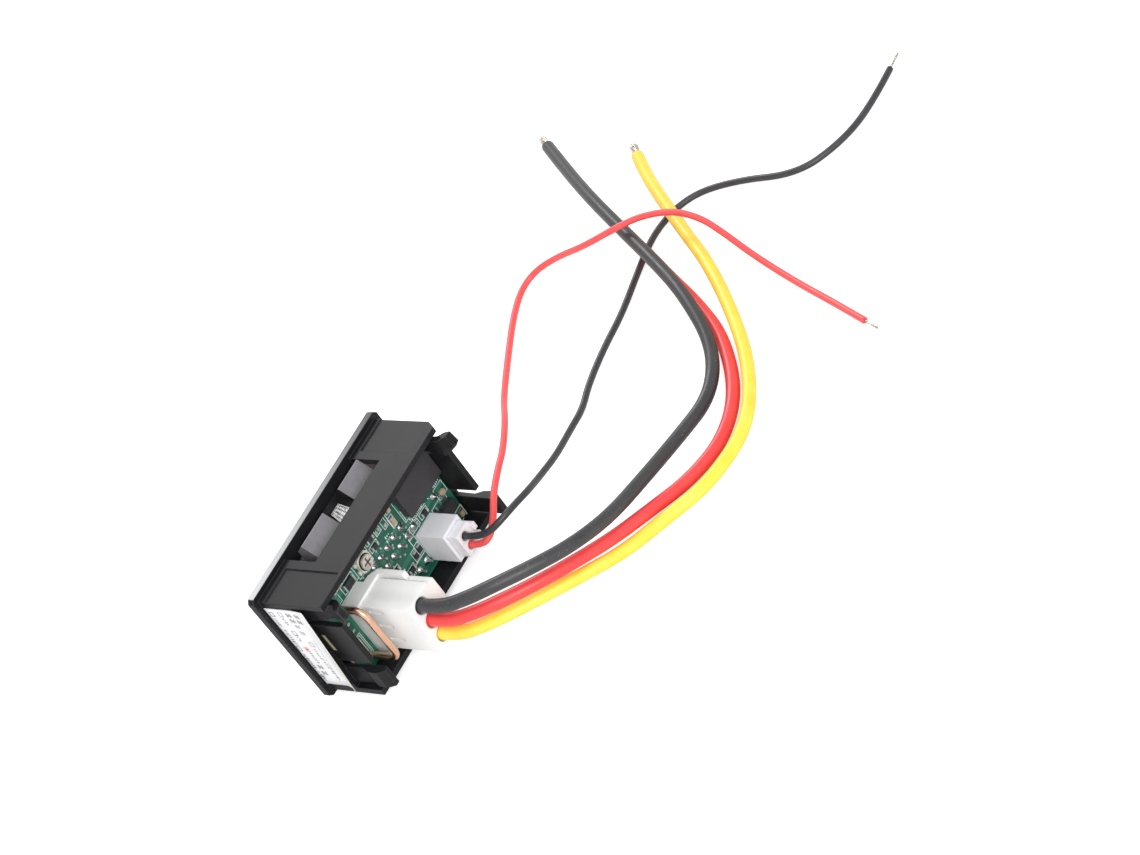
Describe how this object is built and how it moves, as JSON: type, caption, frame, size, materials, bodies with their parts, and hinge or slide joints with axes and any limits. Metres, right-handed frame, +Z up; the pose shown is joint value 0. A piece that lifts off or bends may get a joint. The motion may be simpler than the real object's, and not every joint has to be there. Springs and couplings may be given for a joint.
{
  "type": "digital panel meter",
  "caption": "Panel-mount digital voltage and current meter with snap-in case, board, staple shunt and plug-in load and power leads.",
  "frame": {"origin": "centre of the panel cutout, in the plane of the bezel's back face", "axes": "+X along the long side towards the shunt and the load plug, +Y into the panel (to the back), +Z up, across the bezel's short side"},
  "size_m": [0.1723, 0.1171, 0.029],
  "materials": {
    "black_case": "satin moulded",
    "smoked_window": "tinted, polished",
    "display_resin": "matt",
    "unlit_segment": "matt",
    "tinned_pin": "tinned",
    "solder": "bright, uneven",
    "green_board": "lacquered",
    "copper_wire": "drawn, slightly worn",
    "pale_ceramic": "matt",
    "trimmer_metal": "pressed",
    "black_resin": "smooth",
    "chip_black": "matt",
    "chip_tan": "matt",
    "white_nylon": "translucent moulded",
    "blue_white_nylon": "translucent moulded",
    "white_label": "paper, satin",
    "black_sleeve": "smooth",
    "red_sleeve": "smooth",
    "yellow_sleeve": "smooth",
    "bare_strands": "tinned, twisted"
  },
  "bodies": {
    "meter": {"housing": "black_case", "display_window": "smoked_window", "voltage_display": "display_resin", "current_display": "display_resin", "digit_segments": "unlit_segment", "display_pins": "tinned_pin", "solder_joints": "solder", "circuit_board": "green_board", "shunt": "copper_wire", "trimmer_base": "pale_ceramic", "potted_block": "black_resin", "voltage_regulator": "chip_black", "regulator_leads": "tinned_pin", "chip_resistors": "chip_black", "chip_capacitors": "chip_tan", "chip_end_caps": "solder", "load_header": "white_nylon", "load_header_pins": "tinned_pin", "power_header": "blue_white_nylon", "power_header_pins": "tinned_pin", "rating_label": "white_label", "date_label": "white_label"},
    "load_plug_and_leads": {"load_plug": "white_nylon", "load_terminals": "tinned_pin", "black_load_lead": "black_sleeve", "black_load_tip": "bare_strands", "red_load_lead": "red_sleeve", "red_load_tip": "bare_strands", "yellow_load_lead": "yellow_sleeve", "yellow_load_tip": "bare_strands"},
    "power_plug_and_leads": {"power_plug": "blue_white_nylon", "power_terminals": "tinned_pin", "red_supply_lead": "red_sleeve", "red_supply_tip": "bare_strands", "black_supply_lead": "black_sleeve", "black_supply_tip": "bare_strands"},
    "trimmer_disc": {"trimmer_rotor": "trimmer_metal"}
  },
  "joints": [
    {"name": "load_plug_pull", "type": "slide", "parent": "meter", "child": "load_plug_and_leads", "axis": [0, 1, 0], "range_m": [0, 0.007]},
    {"name": "power_plug_pull", "type": "slide", "parent": "meter", "child": "power_plug_and_leads", "axis": [0, 1, 0], "range_m": [0, 0.005]},
    {"name": "trimmer_turn", "type": "hinge", "parent": "meter", "child": "trimmer_disc", "pos_m": [0.0053, 0.0102, 0.0047], "axis": [0, 1, 0], "range_deg": [-130, 130]}
  ]
}
